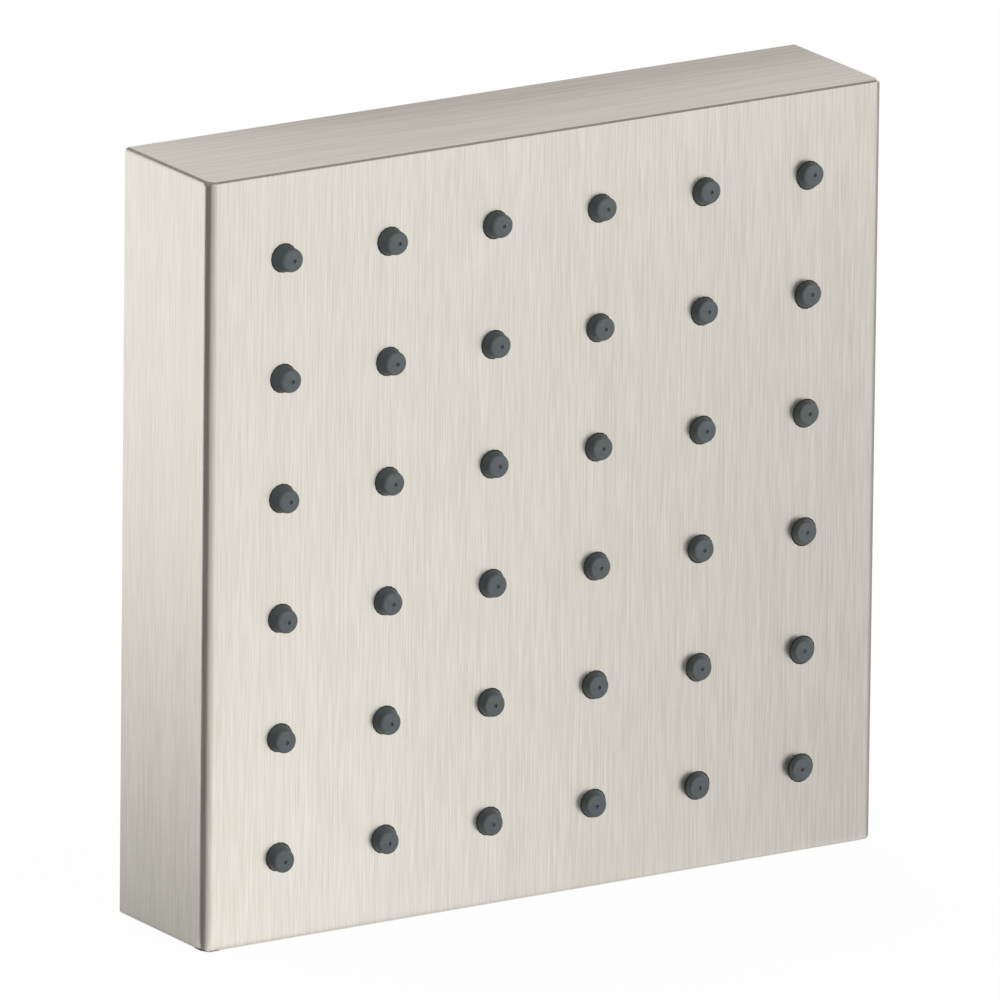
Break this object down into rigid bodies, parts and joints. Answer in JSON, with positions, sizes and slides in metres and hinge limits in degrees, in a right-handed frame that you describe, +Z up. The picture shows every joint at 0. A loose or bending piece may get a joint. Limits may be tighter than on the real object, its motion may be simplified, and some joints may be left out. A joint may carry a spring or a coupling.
{
  "type": "shower body jet",
  "caption": "Square wall-mounted shower body jet with a brushed metal hood, a field of soft leaning nozzles, a water chamber, a plug-in inlet and a folded wall plate.",
  "frame": {"origin": "middle of the wall plane, on the axis of the water inlet", "axes": "+X right seen from the front, +Y into the wall along the inlet, +Z up"},
  "size_m": [0.12, 0.0408, 0.12],
  "materials": {
    "brushed_nickel": "brushed",
    "grey_silicone": "matt",
    "black_rubber": "matt",
    "grey_moulding": "matt",
    "white_moulding": "matt",
    "raw_brass": "turned",
    "sheet_steel": "satin",
    "bright_steel": "satin",
    "woven_steel": "woven"
  },
  "bodies": {
    "root": {"hood": "brushed_nickel", "nozzle_mat": "grey_silicone", "jet_plate": "grey_moulding", "chamber_gasket": "black_rubber", "chamber_cover": "grey_moulding", "stud_nuts": "bright_steel", "inlet_sieve": "woven_steel", "inlet_nipple": "raw_brass", "spigot_ring": "black_rubber", "limiter_body": "white_moulding", "limiter_ring": "black_rubber", "wall_plate": "sheet_steel", "grub_screws": "bright_steel"}
  },
  "joints": []
}
